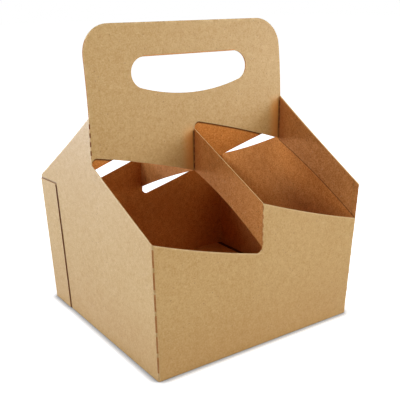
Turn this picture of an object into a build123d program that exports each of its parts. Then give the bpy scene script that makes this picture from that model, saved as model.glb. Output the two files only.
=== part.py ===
"""Folded board carrier for four cups, made from one sheet: four walls, two handle panels glued
back to back, two straps that part the cups, two tie straps that lie on the side walls, a glue
flap and a floor.

Millimetres, +Z up. The origin is the centre of the footprint. X runs along the front wall and
+Y to the back. The rear half of the sheet is the front half after half a turn about Z, but for
the glue flap and for the sizes that are given as a pair.
"""

import os

from build123d import *

FRONT, REAR = 0, 1           # which value of a pair belongs to which half of the sheet

# board
board = 0.6                  # thickness of the sheet
fold_radius = 1.2            # outer radius of the folds at the wall corners

# walls, measured to their outer faces at the middle of each side
half_width = 86.0
half_depth = 82.5
corner_spread = 0.04         # how far the corners lean outwards, per mm of height
blank_height = 166.0         # the walls are cut down from this height

# top edges of the walls
low_corner = 97.0            # front left and back right corners
high_corner = 104.5          # front right and back left corners
shoulder = 162.0             # where a side wall meets the handle
side_foot = 128.5            # foot of the step in a side wall
step_top = (106.0, 108.4)    # step in the front wall, at the strap
step_foot = (70.6, 74.1)
step_round = 4.2             # rounding at the foot of that step
tie_foot = 78.8              # front wall where the tie strap begins
low_edge_dip = (1.6, 0.3)    # how far the front wall's two edges dip below a straight line
high_edge_dip = (1.3, 0.3)
side_edge_dip = 1.5          # the same for the low edge of a side wall

# handle panel, seen from the front
handle_top = 223.6
handle_round = 21.0          # top corners
bend_foot = 150.0            # above this height both layers bend gently backwards
bend_radius = 385.0
left_foot = (133.4, 136.0)   # lower edge at the left crease
left_relief = 3.8            # relief cut beside that crease
middle_foot = 112.2          # lower edge of the left half at the middle crease
middle_relief_top = 149.8    # lower edge of the right half beside that crease
right_foot = (126.4, 124.4)  # lower edge at the right crease
handle_edge_rise = 1.1       # how far the lower edges rise above a straight line
relief_width = 3.8           # also the radius of the relief's corner

# grip slot
grip_band = 23.4             # board left above the slot
slot_half_length = 50.8
slot_height = 28.0           # in the middle
slot_end_radius = 10.6
slot_end_height = 21.3       # where the end rounds meet the lower edge
slot_foot_half_length = 44.2

# straps
strap_top_at_handle = 144.8
strap_foot_at_front = (74.2, 80.6)
strap_edge_rise = (3.4, 1.2)  # how far the lower edge rises above a straight line
tie_edge_rise = 3.0

# glue flap on the left wall
flap_foot_width = 29.0
flap_top_width = 25.0
flap_top = 102.6
flap_round = 2.0

# floor
floor_top = 10.0
floor_end_gap = 4.6          # between the floor and each side wall
floor_lip_foot = 1.0         # lower end of the lips that glue the floor to the walls

overlap = board / 2          # how far joined layers run into each other
margin = 10.0                # how far a cutting shape passes the wall that it cuts
reach = 1.5 * half_width     # clear of the walls on every side


def above(a, b, rise):
    """Arc from a to b whose middle lies above the straight line by rise."""
    return ThreePointArc(a, ((a[0] + b[0]) / 2, (a[1] + b[1]) / 2 + rise), b)


def quarter(a, centre, b):
    """Quarter circle from a to b."""
    away = (Vector(*a) - Vector(*centre)) + (Vector(*b) - Vector(*centre))
    return ThreePointArc(a, Vector(*centre) + away.normalized() * (Vector(*a) - Vector(*centre)).length, b)


def section(height, inset):
    """The walls' outline at one height, moved in by inset: bowed sides with rounded corners."""
    out = corner_spread * height - inset
    cx, cy = half_width + out, half_depth + out
    mx, my = half_width - inset, half_depth - inset
    with BuildSketch(Plane.XY.offset(height)) as outline:
        with BuildLine():
            if height > 0:
                ThreePointArc((-cx, -cy), (0, -my), (cx, -cy))
                ThreePointArc((cx, -cy), (mx, 0), (cx, cy))
                ThreePointArc((cx, cy), (0, my), (-cx, cy))
                ThreePointArc((-cx, cy), (-mx, 0), (-cx, -cy))
            else:
                Polyline((-cx, -cy), (cx, -cy), (cx, cy), (-cx, cy), close=True)
        make_face()
        if fold_radius > inset:
            fillet(outline.vertices(), fold_radius - inset)
    return outline.sketch.faces()[0]


def core(inset):
    """Solid inside the walls' outline, moved in by inset."""
    return loft([section(0, inset), section(blank_height, inset)], ruled=True)


def seen_from_front(face, y_from, y_to):
    """Prism from a face drawn in X and Z."""
    return extrude(Plane.XZ.offset(-y_from) * face, amount=y_from - y_to)


def seen_from_side(face, x_from, x_to):
    """Prism from a face drawn in Y and Z."""
    return extrude(Plane.YZ.offset(x_from) * face, amount=x_to - x_from)


def turned(shape):
    """The same shape after half a turn about Z."""
    return shape.rotate(Axis.Z, 180)


def above_front_wall(half):
    """What is cut away above the front wall's two edges, up to the corner folds."""
    left = half_width - board
    right = half_width - 2 * board
    start = (-left - corner_spread * low_corner, low_corner)
    foot = (-step_round, step_foot[half])
    rise = (0, step_foot[half] + step_round)
    step = (0, step_top[half])
    end = (right + corner_spread * tie_foot, tie_foot)
    end_top = (right + corner_spread * blank_height, blank_height)
    start_top = (-left - corner_spread * blank_height, blank_height)
    outline = [
        above(start, foot, -low_edge_dip[half]),
        quarter(foot, (foot[0], rise[1]), rise),
        Line(rise, step),
        above(step, end, -high_edge_dip[half]),
        Polyline(end, end_top, start_top, start),
    ]
    return seen_from_front(make_face(outline), -reach, overlap + board - half_depth)


def above_right_wall():
    """What is cut away above the right wall: its front half is high and its rear half low."""
    start = (board, side_foot)
    end = (half_depth + corner_spread * low_corner, low_corner)
    front = (-half_depth - corner_spread * high_corner, high_corner)
    outline = [
        above(start, end, -side_edge_dip),
        Polyline(end, (reach, low_corner), (reach, blank_height), (-reach, blank_height)),
        Polyline((-reach, blank_height), (-reach, high_corner), front, (0, shoulder), (board, shoulder), start),
    ]
    return seen_from_side(make_face(outline), half_width - 3 * board, reach)


def tie_strap(half):
    """Strap from the handle's right crease along the right wall to the front right corner."""
    end = (-half_depth - corner_spread * tie_foot, tie_foot)
    start = (0, right_foot[half])
    outline = [
        above(end, start, tie_edge_rise),
        Polyline(start, (0, blank_height), (-reach, blank_height), (-reach, tie_foot), end),
    ]
    band = seen_from_side(make_face(outline), half_width - margin, reach)
    return (core(overlap) - core(2 * board)) & band


def glue_flap():
    """Flap that wraps the back left corner and lies on the outside of the left wall."""
    foot = half_depth - flap_foot_width
    top = half_depth + corner_spread * flap_top - flap_top_width
    side = make_face(Polyline((foot, 0), (top, flap_top), (reach, flap_top), (reach, 0), close=True))
    side = fillet(side.vertices().sort_by_distance((top, flap_top, 0))[0], flap_round)
    edge = half_width - fold_radius
    behind = make_face(Polyline(
        (reach, 0), (-edge, 0), (-edge - corner_spread * blank_height, blank_height),
        (reach, blank_height), close=True))
    flap = (core(-board) - core(overlap)) & seen_from_side(side, -reach, 0)
    return flap - seen_from_front(behind, half_depth - fold_radius, reach)


def walls():
    """The four walls with the tie straps and the glue flap."""
    shell = core(0) - core(board) + tie_strap(FRONT) + turned(tie_strap(REAR))
    shell = shell - above_front_wall(FRONT) - turned(above_front_wall(REAR))
    shell = shell - above_right_wall() - turned(above_right_wall())
    return shell + glue_flap()


def handle_panel(half):
    """The upright part of one layer, in front of the plane between the two layers."""
    side = half_width - overlap
    start = (-side, left_foot[half] - left_relief)
    left = (-side + relief_width, left_foot[half])
    middle = (board, middle_foot)
    crease = (board, middle_relief_top - relief_width)
    relief = (board + relief_width, middle_relief_top)
    right = (side, right_foot[half])
    outline = [
        quarter(start, (left[0], start[1]), left),
        above(left, middle, handle_edge_rise),
        Line(middle, crease),
        quarter(crease, (relief[0], crease[1]), relief),
        above(relief, right, handle_edge_rise),
        Polyline(right, (side, bend_foot), (-side, bend_foot), start),
    ]
    return seen_from_front(make_face(outline), -board, 0)


def bent_panels():
    """The upper part of both layers, bent backwards, with its round corners and the grip slot."""
    side = half_width - overlap
    outline = make_face(Polyline(
        (-side, bend_foot), (side, bend_foot), (side, handle_top), (-side, handle_top), close=True))
    outline = fillet(outline.vertices().group_by(Axis.Y)[-1], handle_round)
    axis = Pos(0, bend_radius, bend_foot) * Rot(0, 90, 0)
    layers = axis * (Cylinder(bend_radius + board, 2 * reach) - Cylinder(bend_radius - board, 2 * reach))
    return (layers & seen_from_front(outline, -reach, reach)) - grip_slot()


def grip_slot():
    """The slot through both layers of the handle: a straight top, round ends and a curved foot."""
    slot_top = handle_top - grip_band
    top = (slot_half_length - slot_end_radius, slot_top)
    end = (slot_half_length, slot_top - slot_end_radius)
    foot = (slot_foot_half_length, slot_top - slot_end_height)
    outline = [
        Line((-top[0], top[1]), top),
        ThreePointArc(top, end, foot),
        ThreePointArc(foot, (0, slot_top - slot_height), (-foot[0], foot[1])),
        ThreePointArc((-foot[0], foot[1]), (-end[0], end[1]), (-top[0], top[1])),
    ]
    return seen_from_front(make_face(outline), -reach, reach)


def strap(half):
    """Strap from the handle's middle crease forward to the step in the front wall."""
    front = -half_depth + overlap
    back = -overlap
    start = (front, strap_foot_at_front[half])
    end = (back, middle_foot)
    outline = [
        above(start, end, strap_edge_rise[half]),
        Polyline(end, (back, strap_top_at_handle), (front, step_top[half]), start),
    ]
    return seen_from_side(make_face(outline), 0, board)


def floor():
    """Floor panel with a glued lip along the front wall and one along the back wall."""
    half_length = half_width - board - floor_end_gap
    half_span = half_depth - board / 4
    panel = Pos(0, 0, floor_top - board / 2) * Box(2 * half_length, 2 * half_span, board)
    lip_height = floor_top - overlap - floor_lip_foot
    strip = Box(2 * half_length, 2 * margin, lip_height)
    strip = Pos(0, -half_depth, floor_lip_foot + lip_height / 2) * strip
    lip = (core(overlap) - core(2 * board)) & strip
    return panel + lip + turned(lip)


def carrier():
    """The whole carrier as one solid."""
    handle = handle_panel(FRONT) + turned(handle_panel(REAR)) + bent_panels()
    return walls() + handle + strap(FRONT) + turned(strap(REAR)) + floor()


os.makedirs("parts", exist_ok=True)
body = carrier()
export_step(body, "parts/cup_carrier.step")
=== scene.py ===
"""Cup carrier of folded kraft board: the sheet with its perforated folds, the stage, lamps and camera."""

import math

import bmesh
import bpy
from mathutils import Matrix, Vector


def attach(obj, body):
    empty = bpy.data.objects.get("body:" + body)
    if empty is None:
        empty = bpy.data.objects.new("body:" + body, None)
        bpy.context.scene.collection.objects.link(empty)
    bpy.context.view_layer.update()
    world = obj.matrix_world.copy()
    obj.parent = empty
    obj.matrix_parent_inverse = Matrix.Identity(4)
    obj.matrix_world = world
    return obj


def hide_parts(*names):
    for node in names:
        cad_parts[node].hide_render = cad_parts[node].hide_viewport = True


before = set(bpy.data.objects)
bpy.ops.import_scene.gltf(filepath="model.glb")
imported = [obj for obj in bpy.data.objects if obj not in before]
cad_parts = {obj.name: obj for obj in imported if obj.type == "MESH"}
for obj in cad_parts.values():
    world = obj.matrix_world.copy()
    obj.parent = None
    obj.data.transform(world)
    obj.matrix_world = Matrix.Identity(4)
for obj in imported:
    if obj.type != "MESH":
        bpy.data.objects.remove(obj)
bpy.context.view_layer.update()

MM = 0.001

# sizes of the sheet, in millimetres, as the solid has them
BOARD = 0.6                      # thickness
HALF_WIDTH = 86.0
HALF_DEPTH = 82.5
CORNER_SPREAD = 0.04             # how far the corners lean outwards, per mm of height
SHOULDER = 162.0                 # where a side wall meets the handle
HANDLE_FOOT = 111.0              # just under the handle panels
HANDLE_TOP = 223.6
HANDLE_ROUND = 21.0              # top corners
BEND_FOOT = 150.0                # above this height the handle bends backwards
BEND_DEPTH = 9.0                 # clear of the bent handle's back
RELIEF_ROUND = 3.8               # round start of a handle edge, beside its crease
SLOT_TOP = 200.2
SLOT_FLAT = 40.2                 # half the length of the slot's straight top
FLOOR_TOP = 10.0
FOOT_TOP = 60.0                  # where the painted shade at the foot of the walls ends
NEAR = 0.1                       # leeway for telling a face's place
FLAP_LEEWAY = 5.0                # the same along the flap's free edge

# painted shade, warm brown, beside the hollow creases, in millimetres
CREASE_FOOT = (104.0, 120.0)     # it begins between these heights
CREASE_FADE = 14.0               # height over which it ends
MIDDLE_CREASE_TOP = 151.0
RIGHT_CREASE_TOP = 166.0

# slits, in millimetres
CLEARANCE = 1.0                  # how far a slit's cutter stands out of the board
CORNER_INSET = 0.35              # from the corner where two walls would meet to the face of the rounded fold

# edges in millimetres, from one end to the other: place, height, place, height, rise in the middle. The place is
# x on the handle and the front wall, and y on the side walls. A pair is for the front half and the rear half, each
# seen from its own side.
HANDLE_LEFT_EDGE = ((-81.9, 133.4, 0.6, 112.2, 1.1), (-81.9, 136.0, 0.6, 112.2, 1.1))
HANDLE_RIGHT_EDGE = ((4.4, 149.8, 85.7, 126.4, 1.1), (4.4, 149.8, 85.7, 124.4, 1.1))
TIE_EDGE = ((-85.7, 78.8, 0.0, 126.4, 3.0), (-85.7, 78.8, 0.0, 124.4, 3.0))
FRONT_LOW_EDGE = ((-89.3, 97.0, -4.2, 70.6, -1.6), (-89.3, 97.0, -4.2, 74.1, -0.3))
FRONT_HIGH_EDGE = ((0.0, 106.0, 88.0, 78.8, -1.3), (0.0, 108.4, 88.0, 78.8, -0.3))
SIDE_HIGH_EDGE = (-86.7, 104.5, 0.0, 162.0, 0.0)
SIDE_LOW_EDGE = (0.6, 128.5, 86.4, 97.0, -1.5)
FLAP_EDGE = (53.5, 0.0, 61.6, 102.6)                  # straight, and on the rear half alone

# STRAP is painted shade on the straps' faces, and EDGE a painted highlight on cut edges that face upwards
OUTER, INNER, STRAP, CUT, EDGE, SHADE = range(6)      # order of the sheet's materials

# lines along edges, in metres: full up to the first distance and gone at the second. The rubbed line is wear with a
# painted highlight, and the flap and slot lines are painted shade
RUBBED_AND_LIT_LINE = (0.0004, 0.0013)
FLAP_LINE = (0.0008, 0.0015)
SLOT_LINE = (0.0005, 0.0013)

# how strongly some painted shade marks show
UNDER_FLOOR, ABOVE_FLAP, DARK_SLOT, DARK_FOLD = 0.9, 0.7, 0.35, 0.6

# painted shade colours: at the foot, beside the creases, in gaps and along lines
FOOT_SHADE_TONE = (0.40, 0.19, 0.045, 1)
CREASE_SHADE_TONE = (0.76, 0.32, 0.065, 1)
STRAP_CREASE_SHADE_TONE = (0.36, 0.105, 0.02, 1)
GAP_SHADE = (0.07, 0.022, 0.008, 1)
LINE_SHADE = (0.12, 0.042, 0.0, 1)

WARM_LIGHT = (1.0, 0.90, 0.76)
LAMP_AIM = 0.10                  # height in metres that the lamps look at


def add(tree, kind, inputs=None, **settings):
    """A node with its settings. Each input is a value, or a socket to link from."""
    made = tree.nodes.new(kind)
    for name, value in settings.items():
        setattr(made, name, value)
    for key, value in (inputs or {}).items():
        if isinstance(value, bpy.types.NodeSocket):
            tree.links.new(value, made.inputs[key])
        else:
            made.inputs[key].default_value = value
    return made


def maths(tree, operation, *values, clamp=False):
    """A Math node's result."""
    made = add(tree, "ShaderNodeMath", dict(enumerate(values)), operation=operation, use_clamp=clamp)
    return made.outputs[0]


def ramp(tree, value, low, high, to_low=0.0, to_high=1.0, easing="SMOOTHSTEP"):
    """A value eased from one range to another."""
    made = add(tree, "ShaderNodeMapRange", {
        "Value": value, "From Min": low, "From Max": high, "To Min": to_low, "To Max": to_high,
    }, interpolation_type=easing)
    return made.outputs["Result"]


def product(tree, first, *others):
    """Values multiplied together."""
    for other in others:
        first = maths(tree, "MULTIPLY", first, other)
    return first


def either(tree, test, if_above, if_below):
    """One of two values: the first where the test is above 0."""
    above = maths(tree, "GREATER_THAN", test, 0.0)
    return add(tree, "ShaderNodeMix", {0: above, 2: if_below, 3: if_above}).outputs[0]


def hypotenuse(tree, first, second):
    """Distance between two places, from how far apart they are along two axes."""
    return maths(tree, "SQRT", maths(tree, "ADD", product(tree, first, first), product(tree, second, second)))


def stripe(tree, distance, full, end, start=-0.0002):
    """1 from a start beside an edge to a full distance from it, and 0 before the start and past the end."""
    return product(tree, ramp(tree, distance, full, end, 1.0, 0.0), maths(tree, "GREATER_THAN", distance, start))


def tint(tree, amount, below, above):
    """A colour mixed between two others."""
    made = add(tree, "ShaderNodeMix", {0: amount, 6: below, 7: above}, data_type="RGBA")
    return made.outputs[2]


def noise(tree, place, scale, detail, roughness=0.55, distortion=0.0):
    """Noise from 0 to 1 at a scale in features per metre."""
    made = add(tree, "ShaderNodeTexNoise", {
        "Vector": place, "Scale": scale, "Detail": detail, "Roughness": roughness, "Distortion": distortion,
    })
    return made.outputs[0]


# ---- board texture, shared by the materials

def new_group(name, inputs, outputs):
    """An empty shader group with named value inputs and outputs, and its two end nodes."""
    tree = bpy.data.node_groups.new(name, "ShaderNodeTree")
    for label, value in inputs.items():
        tree.interface.new_socket(label, in_out="INPUT", socket_type="NodeSocketFloat").default_value = value
    for label in outputs:
        tree.interface.new_socket(label, in_out="OUTPUT", socket_type="NodeSocketFloat")
    return tree, tree.nodes.new("NodeGroupInput"), tree.nodes.new("NodeGroupOutput")


def board_texture():
    """Pulp mottle, pale and dark fibres, specks and surface height of unbleached board."""
    tree, given, result = new_group(
        "board texture", {"Fibre Scale": 1.0},
        ["Mottle", "Cloud", "Pale Fibres", "Dark Fibres", "Specks", "Height"])
    place = add(tree, "ShaderNodeTexCoord").outputs["Object"]
    scale = given.outputs["Fibre Scale"]

    cloud = noise(tree, place, 14.0, 2.0)
    broad = noise(tree, place, maths(tree, "MULTIPLY", scale, 240.0), 2.0, 0.5)
    fine = noise(tree, place, maths(tree, "MULTIPLY", scale, 900.0), 3.0, 0.6)
    mottle = maths(tree, "ADD", maths(tree, "MULTIPLY", broad, 0.27), maths(tree, "MULTIPLY", fine, 0.73))

    def fibres(shift, size, width, share):
        """Thin wandering lines where a noise crosses its middle, broken up by another noise."""
        moved = add(tree, "ShaderNodeVectorMath", {0: place, 1: (shift, 2 * shift, -shift)}, operation="ADD")
        moved = moved.outputs[0]
        field = noise(tree, moved, maths(tree, "MULTIPLY", scale, size), 2.0, 0.5, 0.6)
        line = ramp(tree, maths(tree, "ABSOLUTE", maths(tree, "SUBTRACT", field, 0.5)), 0.0, width, 1.0, 0.0)
        kept = ramp(tree, noise(tree, moved, maths(tree, "MULTIPLY", scale, 1.7 * size), 1.0), share, share + 0.08)
        return maths(tree, "MULTIPLY", line, kept)

    pale = fibres(0.31, 230.0, 0.016, 0.52)
    dark = fibres(0.77, 200.0, 0.014, 0.56)

    grains = add(tree, "ShaderNodeTexVoronoi", {
        "Vector": place, "Scale": maths(tree, "MULTIPLY", scale, 420.0), "Randomness": 1.0})
    chosen = add(tree, "ShaderNodeSeparateColor", {0: grains.outputs["Color"]}).outputs[0]
    dots = ramp(tree, grains.outputs["Distance"], 0.12, 0.26, 1.0, 0.0)
    specks = maths(tree, "MULTIPLY", dots, ramp(tree, chosen, 0.90, 0.94))

    height = maths(tree, "ADD", maths(tree, "MULTIPLY", mottle, 0.6), maths(tree, "MULTIPLY", pale, 0.25))
    for label, value in (("Mottle", mottle), ("Cloud", cloud), ("Pale Fibres", pale), ("Dark Fibres", dark),
                         ("Specks", specks), ("Height", height)):
        tree.links.new(value, result.inputs[label])
    return tree


# ---- worn places with painted highlight, and painted shade, found from the edges of the sheet

def edge_height(tree, along, edge):
    """Height in metres of one of the sheet's edges at a place along it."""
    start, low, end, high, rise = edge
    t = maths(tree, "DIVIDE", maths(tree, "SUBTRACT", along, start * MM), (end - start) * MM, clamp=True)
    bulge = product(tree, t, maths(tree, "SUBTRACT", 1.0, t), 4 * rise * MM)
    straight = maths(tree, "MULTIPLY_ADD", t, (high - low) * MM, low * MM)
    return maths(tree, "ADD", straight, bulge)


def half_edge(tree, behind, along, edges):
    """Height of an edge of the front half, or of the rear half where the test is above 0."""
    front, rear = edges
    return either(tree, behind, edge_height(tree, along, rear), edge_height(tree, along, front))


def half_place(tree, along, across, ahead=-1.0):
    """A coordinate as its own half of the sheet counts it: its sign turns where across isn't on the side ahead."""
    return product(tree, along, maths(tree, "SIGN", maths(tree, "MULTIPLY", across, ahead)))


def edge_wear_and_highlight():
    """Where the board is paler, unevenly: wear at the corner folds, and wear with a painted highlight along the
    handle's rim and the walls' top edges.
    """
    tree, given, result = new_group("edge wear and painted highlight", {"Width": 0.002, "Patch Scale": 150.0}, ["Wear"])
    place = add(tree, "ShaderNodeTexCoord").outputs["Object"]
    x, y, height = add(tree, "ShaderNodeSeparateXYZ", {0: place}).outputs
    side, depth = maths(tree, "ABSOLUTE", x), maths(tree, "ABSOLUTE", y)
    lean = maths(tree, "MULTIPLY", height, CORNER_SPREAD)
    to_side = maths(tree, "SUBTRACT", maths(tree, "ADD", lean, HALF_WIDTH * MM), side)
    to_front = maths(tree, "SUBTRACT", maths(tree, "ADD", lean, HALF_DEPTH * MM), depth)
    fold = maths(tree, "MAXIMUM", to_side, to_front)
    across = maths(tree, "MAXIMUM", maths(tree, "SUBTRACT", side, (HALF_WIDTH - HANDLE_ROUND) * MM), 0.0)
    upward = maths(tree, "MAXIMUM", maths(tree, "SUBTRACT", height, (HANDLE_TOP - HANDLE_ROUND) * MM), 0.0)
    rim = maths(tree, "SUBTRACT", HANDLE_ROUND * MM, hypotenuse(tree, across, upward))
    distance = either(tree, maths(tree, "SUBTRACT", height, SHOULDER * MM), rim, fold)
    near = ramp(tree, distance, 0.0, given.outputs["Width"], 1.0, 0.0)
    patches = ramp(tree, noise(tree, place, given.outputs["Patch Scale"], 3.0, 0.6), 0.42, 0.62)
    rubbed_and_lit = product(tree, near, patches)

    def on_wall(along, half_length, out, half_span):
        """1 on the outer face of one pair of walls, which bow inwards between the corners."""
        share = maths(tree, "DIVIDE", along, maths(tree, "ADD", lean, half_length * MM))
        bow = product(tree, lean, share, share)
        inside = maths(tree, "SUBTRACT", maths(tree, "ADD", bow, half_span * MM), out)
        return maths(tree, "LESS_THAN", inside, BOARD / 2 * MM)

    along_front, along_side = half_place(tree, x, y), half_place(tree, y, x, 1.0)
    front_top = either(tree, along_front, half_edge(tree, y, along_front, FRONT_HIGH_EDGE),
                       half_edge(tree, y, along_front, FRONT_LOW_EDGE))
    side_top = either(tree, maths(tree, "SUBTRACT", along_side, BOARD * MM),
                      edge_height(tree, along_side, SIDE_LOW_EDGE), edge_height(tree, along_side, SIDE_HIGH_EDGE))
    uneven = maths(tree, "MULTIPLY_ADD", patches, 0.5, 0.5)
    # pale lines along the walls' top edges: wear with a painted highlight
    for top, wall in ((front_top, on_wall(x, HALF_WIDTH, depth, HALF_DEPTH)),
                      (side_top, on_wall(y, HALF_DEPTH, side, HALF_WIDTH))):
        line = stripe(tree, maths(tree, "SUBTRACT", top, height), *RUBBED_AND_LIT_LINE)
        rubbed_and_lit = maths(tree, "MAXIMUM", rubbed_and_lit, product(tree, line, wall, uneven))
    tree.links.new(rubbed_and_lit, result.inputs["Wear"])
    return tree


def painted_shade_marks():
    """Painted shade on the board: warm brown beside the hollow creases and above the slot, dark in the gaps under
    the layers that lie on it and below the floor, dark along the flap's edge, above the slot and beside the folds,
    and darker and more orange at its foot."""
    tree, given, result = new_group(
        "painted shade marks", {"Crease Reach": 0.015, "Fold Width": 0.0022, "Gap Width": 0.0011},
        ["Crease", "Gap", "Edge Line", "Foot"])
    place = add(tree, "ShaderNodeTexCoord").outputs["Object"]
    facing = add(tree, "ShaderNodeSeparateXYZ", {0: add(tree, "ShaderNodeNewGeometry").outputs["Normal"]}).outputs
    x, y, z = add(tree, "ShaderNodeSeparateXYZ", {0: place}).outputs
    side = maths(tree, "ABSOLUTE", x)
    gap_width = given.outputs["Gap Width"]

    along_front, along_side = half_place(tree, x, y), half_place(tree, y, x, 1.0)
    from_right = maths(tree, "ABSOLUTE", maths(tree, "SUBTRACT", along_front, (HALF_WIDTH - 2 * BOARD) * MM))
    indoors = maths(tree, "LESS_THAN", side, (HALF_WIDTH - BOARD) * MM)

    def beside_creases(reach):
        """1 at the middle and right creases, and 0 at a reach from them or above their tops."""
        marks = []
        for across, top in ((along_front, MIDDLE_CREASE_TOP), (from_right, RIGHT_CREASE_TOP)):
            near = ramp(tree, hypotenuse(tree, across, y), BOARD * MM, reach, 1.0, 0.0, "SMOOTHERSTEP")
            begun = ramp(tree, z, CREASE_FOOT[0] * MM, CREASE_FOOT[1] * MM)
            ended = ramp(tree, z, (top - CREASE_FADE) * MM, top * MM, 1.0, 0.0)
            marks.append(product(tree, near, begun, ended, indoors))
        return maths(tree, "MAXIMUM", *marks)

    def rounded(edges):
        """A handle edge's height, less what its relief rounds off before the start."""
        before = maths(tree, "MAXIMUM", maths(tree, "SUBTRACT", edges[0][0] * MM, seen), 0.0)
        before = maths(tree, "MINIMUM", before, RELIEF_ROUND * MM)
        kept = maths(tree, "SQRT", maths(tree, "SUBTRACT", (RELIEF_ROUND * MM) ** 2, product(tree, before, before)))
        edge = half_edge(tree, facing[1], seen, edges)
        return maths(tree, "ADD", edge, maths(tree, "SUBTRACT", kept, RELIEF_ROUND * MM))

    def under(edge, *masks):
        """1 in the gap just below an edge, for painted shade."""
        full, end = maths(tree, "MULTIPLY", gap_width, 0.6), maths(tree, "MULTIPLY", gap_width, 1.6)
        return product(tree, stripe(tree, maths(tree, "SUBTRACT", edge, z), full, end, -0.002), *masks)

    # painted shade under the handle's layers, where the other layer's inner face shows, and under the tie straps
    seen = half_place(tree, x, facing[1])
    handle_edge = either(tree, maths(tree, "SUBTRACT", seen, BOARD * MM), rounded(HANDLE_RIGHT_EDGE),
                         rounded(HANDLE_LEFT_EDGE))
    between = maths(tree, "LESS_THAN", maths(tree, "ABSOLUTE", y), BOARD / 3 * MM)
    tie_edge = half_edge(tree, maths(tree, "MULTIPLY", x, -1.0), along_side, TIE_EDGE)
    tied = maths(tree, "LESS_THAN", along_side, 0.0)
    beside = maths(tree, "GREATER_THAN", side, (HALF_WIDTH - 2) * MM)
    gap = maths(tree, "MAXIMUM", under(handle_edge, between), under(tie_edge, tied, beside))
    # painted shade below the floor panel
    below_floor = maths(tree, "LESS_THAN", z, (FLOOR_TOP - BOARD) * MM)
    gap = maths(tree, "MAXIMUM", gap, maths(tree, "MULTIPLY", below_floor, UNDER_FLOOR))

    # painted shadow beside the flap's free edge, a little narrower and weaker above its top
    start, low, end, high = FLAP_EDGE
    flap_y = maths(tree, "MULTIPLY_ADD", z, (end - start) / (high - low), start * MM)
    above_flap = maths(tree, "SUBTRACT", z, high * MM)
    past_flap = maths(tree, "MAXIMUM", product(tree, maths(tree, "SUBTRACT", flap_y, y), 0.8), above_flap)
    flap = product(tree, stripe(tree, past_flap, *FLAP_LINE), ramp(tree, above_flap, -0.002, 0.0, 1.0, ABOVE_FLAP),
                   maths(tree, "LESS_THAN", x, -(HALF_WIDTH - BOARD / 2) * MM),
                   maths(tree, "LESS_THAN", facing[0], -0.5))

    # painted shade above the slot's straight top
    slot = product(tree, stripe(tree, maths(tree, "SUBTRACT", z, SLOT_TOP * MM), *SLOT_LINE, 0.0),
                   maths(tree, "LESS_THAN", side, SLOT_FLAT * MM))

    # painted shade, warm brown, beside the creases and above the slot
    crease = maths(tree, "MAXIMUM", beside_creases(given.outputs["Crease Reach"]), slot)
    # dark painted shade lines beside the middle and right creases
    folds = maths(tree, "MULTIPLY", beside_creases(given.outputs["Fold Width"]), DARK_FOLD)
    lines = maths(tree, "MAXIMUM", maths(tree, "MAXIMUM", flap, maths(tree, "MULTIPLY", slot, DARK_SLOT)), folds)
    # darker and more orange towards the bottom: painted shade
    foot = ramp(tree, z, 0.0, FOOT_TOP * MM, 1.0, 0.0)
    for label, value in (("Crease", crease), ("Gap", gap), ("Edge Line", lines), ("Foot", foot)):
        tree.links.new(value, result.inputs[label])
    return tree


# ---- materials of the board

texture, wear_and_highlight, shade_marks = board_texture(), edge_wear_and_highlight(), painted_shade_marks()


def board_material(name, dark, light, pale_fibre, dark_fibre, speck, contrast, roughness, gloss, bump, rubbed_and_lit,
                   crease_shade=0.0, crease_shade_tone=CREASE_SHADE_TONE, gap=0.0, painted_line_shade=0.0, foot_shade=0.0, fibre_scale=1.0,
                   wear_and_highlight_width=0.002):
    """Matt board. Its colour runs from dark to light with the mottle, and fibres and specks lie over it. The shares
    say how strongly each mark shows: the rubbed share is wear with a painted highlight, and the crease, gap, line
    and foot shares are painted shade."""
    material = bpy.data.materials.new(name)
    material.use_nodes = True
    tree = material.node_tree
    shader = tree.nodes["Principled BSDF"]
    board = add(tree, "ShaderNodeGroup", {"Fibre Scale": fibre_scale}, node_tree=texture).outputs
    painted_shade = add(tree, "ShaderNodeGroup", node_tree=shade_marks).outputs
    worn_and_lit = add(tree, "ShaderNodeGroup", {"Width": wear_and_highlight_width}, node_tree=wear_and_highlight).outputs["Wear"]
    blend = maths(tree, "ADD", maths(tree, "MULTIPLY", maths(tree, "SUBTRACT", board["Mottle"], 0.5), contrast),
                  maths(tree, "ADD", maths(tree, "MULTIPLY", board["Cloud"], 0.5), 0.25), clamp=True)
    colour = tint(tree, blend, dark, light)
    for mask, share, over in (
            (board["Pale Fibres"], 0.45, pale_fibre), (board["Dark Fibres"], 0.40, dark_fibre),
            (board["Specks"], 0.55, speck), (painted_shade["Foot"], foot_shade, FOOT_SHADE_TONE),
            (painted_shade["Crease"], crease_shade, crease_shade_tone), (painted_shade["Gap"], gap, GAP_SHADE),
            (painted_shade["Edge Line"], painted_line_shade, LINE_SHADE), (worn_and_lit, rubbed_and_lit, pale_fibre)):
        if share:
            colour = tint(tree, maths(tree, "MULTIPLY", mask, share), colour, over)
    tree.links.new(colour, shader.inputs["Base Color"])
    tree.links.new(ramp(tree, board["Mottle"], 0.3, 0.7, roughness, roughness - 0.12), shader.inputs["Roughness"])
    relief = add(tree, "ShaderNodeBump", {"Strength": 1.0, "Distance": bump, "Height": board["Height"]})
    tree.links.new(relief.outputs[0], shader.inputs["Normal"])
    shader.inputs["Specular IOR Level"].default_value = gloss
    return material


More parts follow.
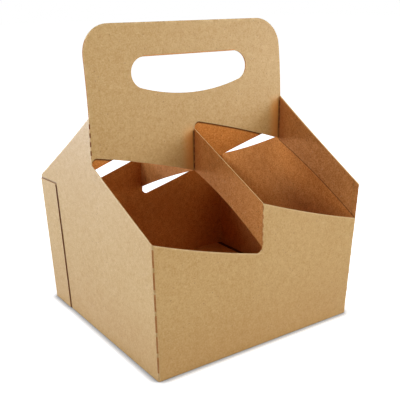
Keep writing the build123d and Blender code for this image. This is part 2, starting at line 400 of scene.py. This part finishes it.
sheet_materials = {
    OUTER: board_material(
        "board outer side", dark=(0.465, 0.265, 0.070, 1), light=(0.615, 0.405, 0.170, 1),
        pale_fibre=(0.72, 0.53, 0.28, 1), dark_fibre=(0.37, 0.17, 0.05, 1), speck=(0.25, 0.11, 0.03, 1),
        contrast=2.6, roughness=0.56, gloss=0.5, bump=0.00004, rubbed_and_lit=0.7, crease_shade=0.85, painted_line_shade=1.0, foot_shade=0.3),
    INNER: board_material(
        "board inner side", dark=(0.46, 0.144, 0.024, 1), light=(0.71, 0.290, 0.072, 1),
        pale_fibre=(0.74, 0.38, 0.13, 1), dark_fibre=(0.34, 0.09, 0.016, 1), speck=(0.20, 0.06, 0.012, 1),
        contrast=3.4, roughness=0.78, gloss=0.04, bump=0.00005, rubbed_and_lit=0.3, gap=0.85),
    # the straps' faces: the board darker and redder, painted shade with warm bounce from the brown walls
    STRAP: board_material(
        "board strap side painted shade", dark=(0.42, 0.143, 0.028, 1), light=(0.66, 0.287, 0.082, 1),
        pale_fibre=(0.70, 0.40, 0.18, 1), dark_fibre=(0.32, 0.09, 0.020, 1), speck=(0.20, 0.06, 0.015, 1),
        contrast=3.2, roughness=0.78, gloss=0.1, bump=0.00005, rubbed_and_lit=0.3, crease_shade=0.6,
        crease_shade_tone=STRAP_CREASE_SHADE_TONE, painted_line_shade=0.8),
    CUT: board_material(
        "board cut edge", dark=(0.40, 0.155, 0.045, 1), light=(0.60, 0.280, 0.098, 1),
        pale_fibre=(0.66, 0.40, 0.18, 1), dark_fibre=(0.22, 0.07, 0.018, 1), speck=(0.18, 0.06, 0.015, 1),
        contrast=2.8, roughness=0.9, gloss=0.1, bump=0.00008, rubbed_and_lit=0.3, fibre_scale=1.5),
    # cut edges that face upwards, lighter: a painted highlight
    EDGE: board_material(
        "board upward edge painted highlight", dark=(0.67, 0.41, 0.155, 1), light=(0.84, 0.59, 0.28, 1),
        pale_fibre=(0.88, 0.70, 0.40, 1), dark_fibre=(0.50, 0.28, 0.10, 1), speck=(0.32, 0.15, 0.05, 1),
        contrast=2.8, roughness=0.7, gloss=0.3, bump=0.00008, rubbed_and_lit=0.5, wear_and_highlight_width=0.003),
    SHADE: board_material(
        "board slit shade", dark=(0.17, 0.055, 0.016, 1), light=(0.32, 0.115, 0.036, 1),
        pale_fibre=(0.40, 0.17, 0.06, 1), dark_fibre=(0.06, 0.02, 0.006, 1), speck=(0.04, 0.012, 0.004, 1),
        contrast=2.8, roughness=0.9, gloss=0.1, bump=0.00008, rubbed_and_lit=0.0, fibre_scale=1.5),
}


# ---- the sheet

def side_shown(centre, normal):
    """Which surface of the sheet a face shows: a side of the board, the straps' faces with painted shade, a cut
    edge, or a cut edge that faces upwards with a painted highlight.
    """
    x, y, z = (v / MM for v in centre)
    nx, ny, nz = normal
    flap_start, _, flap_end, flap_top = FLAP_EDGE
    on_strap = abs(x) < BOARD + NEAR
    in_depth = abs(y) < HALF_DEPTH - BOARD - NEAR
    if z > FLOOR_TOP and on_strap and abs(nx) > 0.7:
        return STRAP
    if z > HANDLE_FOOT and abs(y) < BEND_DEPTH and (abs(x) < HALF_WIDTH - 2 * BOARD - NEAR or z > SHOULDER):
        if abs(ny) < 0.7:
            return EDGE if nz > 0.5 else CUT
        return INNER if abs(y) < BOARD / 3 and z < BEND_FOOT else OUTER
    if z > FLOOR_TOP + 1 and on_strap and in_depth:
        return EDGE if nz > 0.3 else CUT
    if z < FLOOR_TOP + NEAR and abs(x) < HALF_WIDTH - 4 and abs(y) < HALF_DEPTH - BOARD - 2 * NEAR:
        if abs(nz) > 0.7:
            return INNER if nz > 0 else OUTER
        return OUTER if abs(ny) > 0.7 else CUT
    if abs(nz) > 0.6:
        on_flap_top = x < -HALF_WIDTH and abs(z - flap_top) < 2 and y > flap_start
        return EDGE if nz > 0 and not on_flap_top else CUT
    if abs(nx) > abs(ny):
        bow = CORNER_SPREAD * z * (y / (HALF_DEPTH + CORNER_SPREAD * z)) ** 2
        inward = STRAP if HALF_WIDTH + bow - abs(x) > 1.5 * BOARD else INNER
        return OUTER if nx * x > 0 else inward
    if x < -HALF_WIDTH and flap_start - FLAP_LEEWAY < y < flap_end + FLAP_LEEWAY:
        return SHADE
    return OUTER if ny * y > 0 else INNER


def welded_copy(node, name):
    """The solid's mesh with its loose triangles joined, and each face given its side of the sheet."""
    form = bmesh.new()
    form.from_mesh(node.data)
    bmesh.ops.remove_doubles(form, verts=form.verts, dist=2e-7)
    bmesh.ops.dissolve_degenerate(form, edges=form.edges, dist=1e-7)
    mesh = bpy.data.meshes.new(name)
    points = [v.co[:] for v in form.verts]
    form.verts.index_update()
    faces = [[v.index for v in f.verts] for f in form.faces]
    form.free()
    mesh.from_pydata(points, [], faces)
    for side in sorted(sheet_materials):
        mesh.materials.append(sheet_materials[side])
    for face in mesh.polygons:
        face.material_index = side_shown(face.center, face.normal)
    made = bpy.data.objects.new(name, mesh)
    bpy.context.scene.collection.objects.link(made)
    return made


# ---- slits of the perforated folds

def slit_tree():
    """Slits in a row along each line of the folds: a box at every step, turned to the fold."""
    tree = bpy.data.node_groups.new("fold slits", "GeometryNodeTree")
    face = tree.interface
    face.new_socket("Folds", in_out="INPUT", socket_type="NodeSocketGeometry")
    for label in ("Slit Length", "Step", "Slit Width", "Slit Depth"):
        face.new_socket(label, in_out="INPUT", socket_type="NodeSocketFloat")
    face.new_socket("Material", in_out="INPUT", socket_type="NodeSocketMaterial")
    face.new_socket("Slits", in_out="OUTPUT", socket_type="NodeSocketGeometry")
    given, result = tree.nodes.new("NodeGroupInput").outputs, tree.nodes.new("NodeGroupOutput")

    lines = add(tree, "GeometryNodeMeshToCurve", {"Mesh": given["Folds"]})
    steps = add(tree, "GeometryNodeCurveToPoints", {
        "Curve": lines.outputs[0], "Length": given["Step"]}, mode="LENGTH")
    outward = add(tree, "GeometryNodeInputNamedAttribute", {"Name": "outward"}, data_type="FLOAT_VECTOR")
    turn = add(tree, "FunctionNodeAxesToRotation", {
        "Primary Axis": steps.outputs["Tangent"], "Secondary Axis": outward.outputs[0],
    }, primary_axis="Z", secondary_axis="X")
    size = add(tree, "ShaderNodeCombineXYZ", {
        "X": maths(tree, "ADD", given["Slit Depth"], CLEARANCE * MM), "Y": given["Slit Width"],
        "Z": given["Slit Length"]})
    cube = add(tree, "GeometryNodeMeshCube", {"Size": size.outputs[0]})
    shift = add(tree, "ShaderNodeCombineXYZ", {
        "X": maths(tree, "MULTIPLY", maths(tree, "SUBTRACT", CLEARANCE * MM, given["Slit Depth"]), 0.5)})
    cutter = add(tree, "GeometryNodeTransform", {"Geometry": cube.outputs[0], "Translation": shift.outputs[0]})
    placed = add(tree, "GeometryNodeInstanceOnPoints", {
        "Points": steps.outputs["Points"], "Instance": cutter.outputs[0], "Rotation": turn.outputs[0]})
    real = add(tree, "GeometryNodeRealizeInstances", {"Geometry": placed.outputs[0]})
    finished = add(tree, "GeometryNodeSetMaterial", {"Geometry": real.outputs[0], "Material": given["Material"]})
    tree.links.new(finished.outputs[0], result.inputs["Slits"])
    return tree


def plain_mesh(made):
    """Gives an object the mesh that its modifiers make, in their place."""
    evaluated = made.evaluated_get(bpy.context.evaluated_depsgraph_get())
    plain = bpy.data.meshes.new_from_object(evaluated)
    made.modifiers.clear()
    made.data = plain


def slits(name, folds, length, step, width, depth, material):
    """A plain mesh of slit boxes. A fold is (first centre, last centre, outward direction), in millimetres."""
    mesh = bpy.data.meshes.new(name)
    points, edges, directions = [], [], []
    for first, last, outward in folds:
        first, last = Vector(first), Vector(last)
        steps = round((last - first).length / step)
        end = first + (last - first).normalized() * (steps + 0.01) * step      # a little past the last slit
        edges.append((len(points), len(points) + 1))
        points += [first * MM, end * MM]
        directions += [Vector(outward).normalized()] * 2
    mesh.from_pydata(points, edges, [])
    layer = mesh.attributes.new("outward", "FLOAT_VECTOR", "POINT")
    for item, direction in zip(layer.data, directions):
        item.vector = direction
    made = bpy.data.objects.new(name, mesh)
    bpy.context.scene.collection.objects.link(made)
    modifier = made.modifiers.new("slits", "NODES")
    modifier.node_group = fold_slits
    values = {"Slit Length": length * MM, "Step": step * MM, "Slit Width": width * MM,
              "Slit Depth": depth * MM, "Material": material}
    for item in fold_slits.interface.items_tree:
        if item.in_out == "INPUT" and item.name in values:
            modifier[item.identifier] = values[item.name]
    plain_mesh(made)
    return made


def corner(right, back, z):
    """Point on a corner's fold at one height: right and back are -1 or 1."""
    return (right * (HALF_WIDTH + CORNER_SPREAD * z - CORNER_INSET),
            back * (HALF_DEPTH + CORNER_SPREAD * z - CORNER_INSET), z)


def both(first, last, outward):
    """A fold of the front half of the sheet, and the same fold of the rear half."""
    def turned(p):
        return (-p[0], -p[1], p[2])
    return [(first, last, outward), (turned(first), turned(last), turned(outward))]


def sheet_with_slits():
    """The sheet with a groove cut into it by every slit."""
    to_left, to_right = (-1, -1, 0), (1, -1, 0)
    right_crease = HALF_WIDTH - 2 * BOARD
    long_folds = (both(corner(-1, -1, 12.4), corner(-1, -1, 87.9), to_left)
                  + both(corner(1, -1, 12.4), corner(1, -1, 57.7), to_right))
    fine_folds = (both(corner(1, -1, 83.0), corner(1, -1, 101.6), to_right)
                  + both((0, -HALF_DEPTH, 77.7), (0, -HALF_DEPTH, 102.5), to_left))
    handle_folds = both((-HALF_WIDTH, -BOARD, 137.5), (-HALF_WIDTH, -BOARD, 156.1), to_left)
    hollow_folds = (both((0, -BOARD, 116.0), (0, -BOARD, 140.8), to_left)
                    + both((right_crease, -BOARD, 137.2), (right_crease, -BOARD, 155.8), to_left))
    cut_board, shade = sheet_materials[CUT], sheet_materials[SHADE]

    # name, folds, and each slit's length, step to the next, width, depth and material
    rows = [slits("long slits", long_folds, 12.0, 15.1, 1.2, 0.45, cut_board),
            slits("fine slits", fine_folds, 3.0, 6.2, 1.2, 0.5, cut_board),
            slits("handle slits", handle_folds, 3.4, 6.2, 1.2, 0.5, shade),
            slits("hollow slits", hollow_folds, 4.4, 6.2, 0.85, 0.35, shade)]
    sheet = welded_copy(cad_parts["cup_carrier"], "board_sheet")
    for cutters in rows:
        cut = sheet.modifiers.new(cutters.name, "BOOLEAN")
        cut.operation = "DIFFERENCE"
        cut.solver = "EXACT"
        cut.material_mode = "TRANSFER"
        cut.object = cutters
    plain_mesh(sheet)
    for cutters in rows:
        bpy.data.objects.remove(cutters)
    return sheet


fold_slits = slit_tree()
sheet = sheet_with_slits()
sheet.data.shade_smooth()
sheet.data.set_sharp_from_angle(angle=math.radians(24))

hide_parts("cup_carrier")
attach(sheet, "root")


# ---- stage, lamps and camera

def backdrop_rays(tree):
    """1 for the rays that show the backdrop: the camera's, and those of gloss and clear materials."""
    path = add(tree, "ShaderNodeLightPath").outputs
    mirrored = maths(tree, "MAXIMUM", path["Is Glossy Ray"], path["Is Transmission Ray"])
    return maths(tree, "MAXIMUM", path["Is Camera Ray"], mirrored)


def stage_floor():
    """Pale floor. The camera sees it as white, with a painted contact shadow from the floor's own occlusion where
    the two meet, and painted dark shade under the object.
    """
    mesh = bpy.data.meshes.new("floor")
    reach, drop = 6.0, 0.0002
    mesh.from_pydata([(-reach, -reach, 0), (reach, -reach, 0), (reach, reach, 0), (-reach, reach, 0)],
                     [], [(0, 1, 2, 3)])
    floor = bpy.data.objects.new("floor", mesh)
    bpy.context.scene.collection.objects.link(floor)
    floor.location.z = -drop
    material = bpy.data.materials.new("pale floor")
    material.use_nodes = True
    tree = material.node_tree
    tree.nodes.clear()
    place = add(tree, "ShaderNodeTexCoord").outputs["Object"]
    along = add(tree, "ShaderNodeSeparateXYZ", {0: place})
    out_x = maths(tree, "SUBTRACT", maths(tree, "ABSOLUTE", along.outputs["X"]), HALF_WIDTH * MM)
    out_y = maths(tree, "SUBTRACT", maths(tree, "ABSOLUTE", along.outputs["Y"]), HALF_DEPTH * MM)
    outside = ramp(tree, maths(tree, "MAXIMUM", out_x, out_y), -0.0015, 0.0)
    from_object = add(tree, "ShaderNodeVectorMath", {0: place}, operation="LENGTH").outputs["Value"]
    paler = ramp(tree, from_object, 0.12, 0.40, 0.93, 1.0)
    # painted contact shadow: the floor's glow and colour darken with its occlusion
    open_sky = add(tree, "ShaderNodeAmbientOcclusion", {"Distance": 0.007}, samples=16).outputs["AO"]
    shade = maths(tree, "POWER", open_sky, 2.2)
    glow = product(tree, outside, paler, shade)
    bounce = add(tree, "ShaderNodeBsdfDiffuse", {"Color": (0.60, 0.60, 0.60, 1)})
    # painted dark shade under the object, where the floor shows through gaps
    ground = tint(tree, product(tree, shade, outside), (0.03, 0.03, 0.03, 1), (0.80, 0.80, 0.80, 1))
    seen = add(tree, "ShaderNodeBsdfDiffuse", {"Color": ground})
    lit = add(tree, "ShaderNodeEmission", {"Color": (1, 1, 1, 1), "Strength": glow})
    white = add(tree, "ShaderNodeAddShader", {0: seen.outputs[0], 1: lit.outputs[0]})
    mixed = add(tree, "ShaderNodeMixShader", {
        0: backdrop_rays(tree), 1: bounce.outputs[0], 2: white.outputs[0]})
    add(tree, "ShaderNodeOutputMaterial", {"Surface": mixed.outputs[0]})
    mesh.materials.append(material)


def studio_world(colour, strength):
    """Soft light from all round, seen as white by the camera and in gloss."""
    world = bpy.data.worlds.new("studio")
    bpy.context.scene.world = world
    world.use_nodes = True
    tree = world.node_tree
    tree.nodes.clear()
    fill = add(tree, "ShaderNodeBackground", {"Color": (*colour, 1), "Strength": strength})
    white = add(tree, "ShaderNodeBackground", {"Color": (1, 1, 1, 1), "Strength": 1.0})
    mixed = add(tree, "ShaderNodeMixShader", {
        0: backdrop_rays(tree), 1: fill.outputs[0], 2: white.outputs[0]})
    add(tree, "ShaderNodeOutputWorld", {"Surface": mixed.outputs[0]})


def softbox(name, azimuth, elevation, distance, width, height, power, colour):
    """Soft lamp that looks at the object. Azimuth 0 is in front of it and 90 to its right."""
    data = bpy.data.lights.new(name, "AREA")
    data.shape = "RECTANGLE"
    data.size, data.size_y = width, height
    data.energy = power
    data.color = colour
    lamp = bpy.data.objects.new(name, data)
    bpy.context.scene.collection.objects.link(lamp)
    a, e = math.radians(azimuth), math.radians(elevation)
    back = Vector((math.sin(a) * math.cos(e), -math.cos(a) * math.cos(e), math.sin(e)))
    lamp.location = Vector((0, 0, LAMP_AIM)) + back * distance
    lamp.rotation_euler = back.to_track_quat("Z", "Y").to_euler()


stage_floor()
studio_world((0.95, 0.97, 1.0), 0.06)
# name, azimuth, elevation, distance, width, height, power, colour
for lamp in (
        ("low front lamp", 15, 3, 1.4, 0.7, 0.2, 1.8, WARM_LIGHT),
        ("low right lamp", 45, 3, 1.4, 0.7, 0.2, 2.25, (1.0, 0.98, 0.87)),
        ("low far right lamp", 60, 3, 1.4, 0.7, 0.2, 3.4, (0.90, 0.93, 1.0)),
        ("right lamp", 60, 20, 1.4, 0.7, 0.2, 4.5, (0.75, 0.87, 1.0)),
        ("near front lamp", 30, 20, 0.6, 0.3, 0.15, 0.43, WARM_LIGHT),
        ("high front lamp", 30, 50, 1.4, 0.7, 0.7, 3.85, WARM_LIGHT),
        ("low corner lamp", -45, 3, 1.4, 0.7, 0.2, 1.2, WARM_LIGHT),
        ("left lamp", -75, 20, 1.4, 0.7, 0.2, 5.3, (0.86, 0.90, 1.0)),
        ("back left lamp", -120, 25, 1.4, 0.7, 0.2, 9.8, (0.69, 0.76, 0.88)),
        ("low back lamp", -150, 3, 1.4, 0.7, 0.2, 10.0, (0.69, 0.79, 1.0))):
    softbox(*lamp)

# camera, fitted to the photograph
lens = bpy.data.cameras.new("camera")
lens.sensor_width = 36.0
lens.lens = 59.92
camera = bpy.data.objects.new("camera", lens)
bpy.context.scene.collection.objects.link(camera)
camera.matrix_world = (
    Matrix.Translation((-0.27803, -0.41186, 0.24005))
    @ Matrix.Rotation(math.radians(-34.498), 4, "Z")
    @ Matrix.Rotation(math.radians(90 - 16.994), 4, "X")
    @ Matrix.Rotation(math.radians(-0.698), 4, "Z"))
bpy.context.scene.camera = camera
bpy.context.scene.view_settings.view_transform = "Standard"
